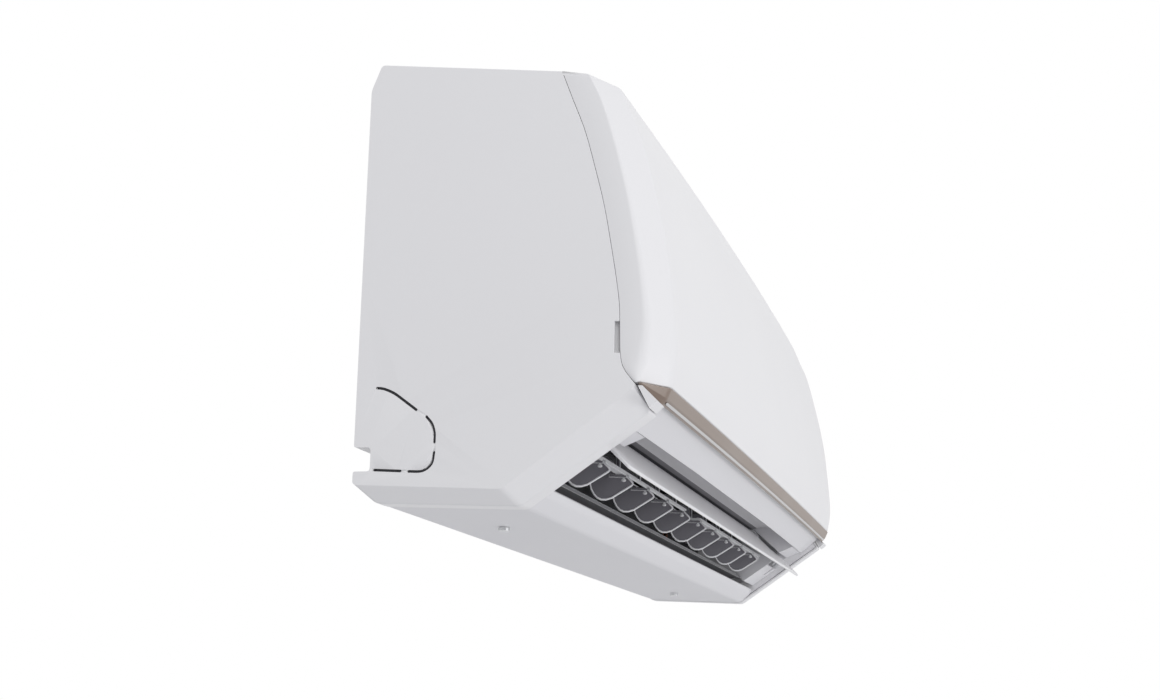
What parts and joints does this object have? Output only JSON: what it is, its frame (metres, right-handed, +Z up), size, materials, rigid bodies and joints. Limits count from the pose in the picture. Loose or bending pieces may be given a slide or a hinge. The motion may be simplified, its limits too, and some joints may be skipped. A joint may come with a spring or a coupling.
{
  "type": "mini split indoor unit",
  "caption": "Wall-mounted split air conditioner indoor unit with bowed hinged front panel, beige trim, open louvre, ten vertical vanes, cross-flow fan, coil and wall plate.",
  "frame": {"origin": "centre of the mounting plate's back face, on the wall plane", "axes": "+X along the unit, +Y into the wall, -Y the room side, +Z up"},
  "size_m": [0.877, 0.208, 0.2956],
  "materials": {
    "white_gloss_shell": "semi-gloss white ABS",
    "white_satin_shell": "satin white ABS",
    "white_small_parts": "white acetal",
    "beige_trim": "satin champagne paint on ABS",
    "grey_vanes": "grey ABS with pale edges",
    "inner_plastic": "uncoated pale ABS",
    "fan_plastic": "dark glass-filled plastic",
    "rubber": "black rubber",
    "filter_frame": "dark polypropylene net frame",
    "zinc_steel": "zinc-coated sheet",
    "motor_steel": "plated steel can",
    "screw_steel": "zinc-plated",
    "aluminium_fins": "coated aluminium fins",
    "copper": "drawn copper",
    "pipe_insulation": "closed-cell foam sleeve",
    "brass": "machined brass",
    "hose_plastic": "pale polyethylene",
    "circuit_board": "solder mask",
    "black_plastic": "black plastic"
  },
  "bodies": {
    "casing": {"mounting_plate": "zinc_steel", "rear_chassis": "inner_plastic", "side_cover_left": "white_gloss_shell", "side_cover_right": "white_gloss_shell", "top_grille": "white_gloss_shell", "bottom_cover": "white_satin_shell", "outlet_frame": "white_satin_shell", "chin_end_left": "white_gloss_shell", "chin_end_right": "white_gloss_shell", "louvre_motor": "motor_steel", "vane_motor_left": "motor_steel", "vane_motor_right": "motor_steel", "fan_bearing": "rubber", "fan_motor": "motor_steel", "motor_clamp": "inner_plastic", "coil_lower": "aluminium_fins", "coil_upper": "aluminium_fins", "coil_back": "aluminium_fins", "coil_end_left": "copper", "coil_end_right": "copper", "gas_pipe": "pipe_insulation", "liquid_pipe": "copper", "gas_flare_nut": "brass", "liquid_flare_nut": "brass", "drain_pan": "inner_plastic", "drain_hose": "hose_plastic", "filter_guide": "inner_plastic", "control_box": "inner_plastic", "circuit_board": "circuit_board", "terminal_block": "black_plastic", "terminal_cover": "white_small_parts", "display_module": "black_plastic", "room_sensor": "copper", "casing_screw_left": "screw_steel", "casing_screw_right": "screw_steel"},
    "panel": {"front_panel": "white_gloss_shell", "trim_strip": "beige_trim", "trim_inlay": "white_gloss_shell"},
    "louvre": {"louvre": "white_gloss_shell", "louvre_arm_left": "white_gloss_shell", "louvre_arm_right": "white_gloss_shell"},
    "fan": {"cross_flow_fan": "fan_plastic"},
    "filter_left": {"filter_left": "filter_frame"},
    "filter_right": {"filter_right": "filter_frame"},
    "emergency_button": {"emergency_button": "white_small_parts"},
    "vane_crank_left": {"vane_crank_left": "white_small_parts"},
    "vane_crank_right": {"vane_crank_right": "white_small_parts"},
    "vane_link_left": {"vane_link_left": "white_small_parts"},
    "vane_link_right": {"vane_link_right": "white_small_parts"},
    "vane_1": {"vane_1": "grey_vanes"},
    "vane_2": {"vane_2": "grey_vanes"},
    "vane_3": {"vane_3": "grey_vanes"},
    "vane_4": {"vane_4": "grey_vanes"},
    "vane_5": {"vane_5": "grey_vanes"},
    "vane_6": {"vane_6": "grey_vanes"},
    "vane_7": {"vane_7": "grey_vanes"},
    "vane_8": {"vane_8": "grey_vanes"},
    "vane_9": {"vane_9": "grey_vanes"},
    "vane_10": {"vane_10": "grey_vanes"}
  },
  "joints": [
    {"name": "panel_hinge", "type": "hinge", "parent": "casing", "child": "panel", "pos_m": [0, -0.1318, 0.1334], "axis": [-1, 0, 0], "range_deg": [0, 62]},
    {"name": "louvre_hinge", "type": "hinge", "parent": "casing", "child": "louvre", "pos_m": [0, -0.1436, -0.1065], "axis": [1, 0, 0], "range_deg": [-8, 101]},
    {"name": "fan_spin", "type": "hinge", "parent": "casing", "child": "fan", "pos_m": [0, -0.084, -0.032], "axis": [1, 0, 0], "continuous": true},
    {"name": "filter_left_slide", "type": "slide", "parent": "casing", "child": "filter_left", "axis": [0, 0.3321, 0.9432], "range_m": [0, 0.15]},
    {"name": "filter_right_slide", "type": "slide", "parent": "casing", "child": "filter_right", "axis": [0, 0.3321, 0.9432], "range_m": [0, 0.15]},
    {"name": "emergency_button_press", "type": "slide", "parent": "casing", "child": "emergency_button", "axis": [0, 1, 0], "range_m": [0, 0.0012], "stiffness_N_per_m": 150, "springref_m": -0.0006},
    {"name": "vane_crank_left_turn", "type": "hinge", "parent": "casing", "child": "vane_crank_left", "pos_m": [-0.374, -0.118, -0.096], "axis": [0, 0, 1], "range_deg": [-55, 15]},
    {"name": "vane_link_left_slide", "type": "slide", "parent": "casing", "child": "vane_link_left", "axis": [1, 0, 0], "range_m": [-0.0195, 0.006]},
    {"name": "vane_1_turn", "type": "hinge", "parent": "casing", "child": "vane_1", "pos_m": [-0.345, -0.118, -0.096], "axis": [0, 0, 1], "range_deg": [-56, 16]},
    {"name": "vane_2_turn", "type": "hinge", "parent": "casing", "child": "vane_2", "pos_m": [-0.274, -0.118, -0.096], "axis": [0, 0, 1], "range_deg": [-56, 16]},
    {"name": "vane_3_turn", "type": "hinge", "parent": "casing", "child": "vane_3", "pos_m": [-0.203, -0.118, -0.096], "axis": [0, 0, 1], "range_deg": [-56, 16]},
    {"name": "vane_4_turn", "type": "hinge", "parent": "casing", "child": "vane_4", "pos_m": [-0.132, -0.118, -0.096], "axis": [0, 0, 1], "range_deg": [-56, 16]},
    {"name": "vane_5_turn", "type": "hinge", "parent": "casing", "child": "vane_5", "pos_m": [-0.061, -0.118, -0.096], "axis": [0, 0, 1], "range_deg": [-56, 16]},
    {"name": "vane_crank_right_turn", "type": "hinge", "parent": "casing", "child": "vane_crank_right", "pos_m": [0.336, -0.118, -0.096], "axis": [0, 0, 1], "range_deg": [-55, 15]},
    {"name": "vane_link_right_slide", "type": "slide", "parent": "casing", "child": "vane_link_right", "axis": [1, 0, 0], "range_m": [-0.0195, 0.006]},
    {"name": "vane_6_turn", "type": "hinge", "parent": "casing", "child": "vane_6", "pos_m": [0.01, -0.118, -0.096], "axis": [0, 0, 1], "range_deg": [-56, 16]},
    {"name": "vane_7_turn", "type": "hinge", "parent": "casing", "child": "vane_7", "pos_m": [0.081, -0.118, -0.096], "axis": [0, 0, 1], "range_deg": [-56, 16]},
    {"name": "vane_8_turn", "type": "hinge", "parent": "casing", "child": "vane_8", "pos_m": [0.152, -0.118, -0.096], "axis": [0, 0, 1], "range_deg": [-56, 16]},
    {"name": "vane_9_turn", "type": "hinge", "parent": "casing", "child": "vane_9", "pos_m": [0.223, -0.118, -0.096], "axis": [0, 0, 1], "range_deg": [-56, 16]},
    {"name": "vane_10_turn", "type": "hinge", "parent": "casing", "child": "vane_10", "pos_m": [0.294, -0.118, -0.096], "axis": [0, 0, 1], "range_deg": [-56, 16]}
  ],
  "couplings": [
    {"joint": "vane_link_left_slide", "follows": "vane_crank_left_turn", "m_per_rad": 0.0195},
    {"joint": "vane_1_turn", "follows": "vane_crank_left_turn", "ratio": 1},
    {"joint": "vane_2_turn", "follows": "vane_crank_left_turn", "ratio": 1},
    {"joint": "vane_3_turn", "follows": "vane_crank_left_turn", "ratio": 1},
    {"joint": "vane_4_turn", "follows": "vane_crank_left_turn", "ratio": 1},
    {"joint": "vane_5_turn", "follows": "vane_crank_left_turn", "ratio": 1},
    {"joint": "vane_link_right_slide", "follows": "vane_crank_right_turn", "m_per_rad": 0.0195},
    {"joint": "vane_6_turn", "follows": "vane_crank_right_turn", "ratio": 1},
    {"joint": "vane_7_turn", "follows": "vane_crank_right_turn", "ratio": 1},
    {"joint": "vane_8_turn", "follows": "vane_crank_right_turn", "ratio": 1},
    {"joint": "vane_9_turn", "follows": "vane_crank_right_turn", "ratio": 1},
    {"joint": "vane_10_turn", "follows": "vane_crank_right_turn", "ratio": 1}
  ]
}
